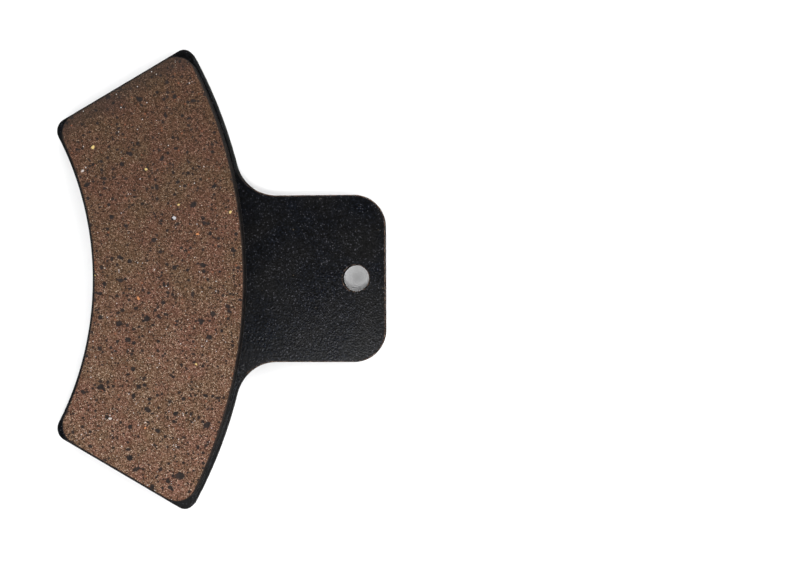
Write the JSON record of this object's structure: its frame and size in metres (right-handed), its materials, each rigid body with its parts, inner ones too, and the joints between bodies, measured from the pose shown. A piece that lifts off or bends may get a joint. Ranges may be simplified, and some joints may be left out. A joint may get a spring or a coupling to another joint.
{
  "type": "disc brake pad",
  "caption": "Small disc brake pad: an arched black-coated steel backing plate with a tab and pin hole, and a moulded brown friction lining bonded and keyed to it.",
  "frame": {"origin": "centre of the guide pin bore at the plate's back face", "axes": "+Z from the back face to the friction face along the pin bore, +X from the lining out past the tab's end, +Y along the pad's length"},
  "size_m": [0.0825, 0.1148, 0.0076],
  "materials": {
    "black_coating": "satin black powder coat with fine orange peel over hot rolled steel",
    "adhesive": "dark brown cured phenolic adhesive",
    "friction_compound": "matt ground friction compound, brown with dark and light grains"
  },
  "bodies": {
    "root": {"backing_plate": "black_coating", "bond_film": "adhesive", "friction_lining": "friction_compound"}
  },
  "joints": []
}
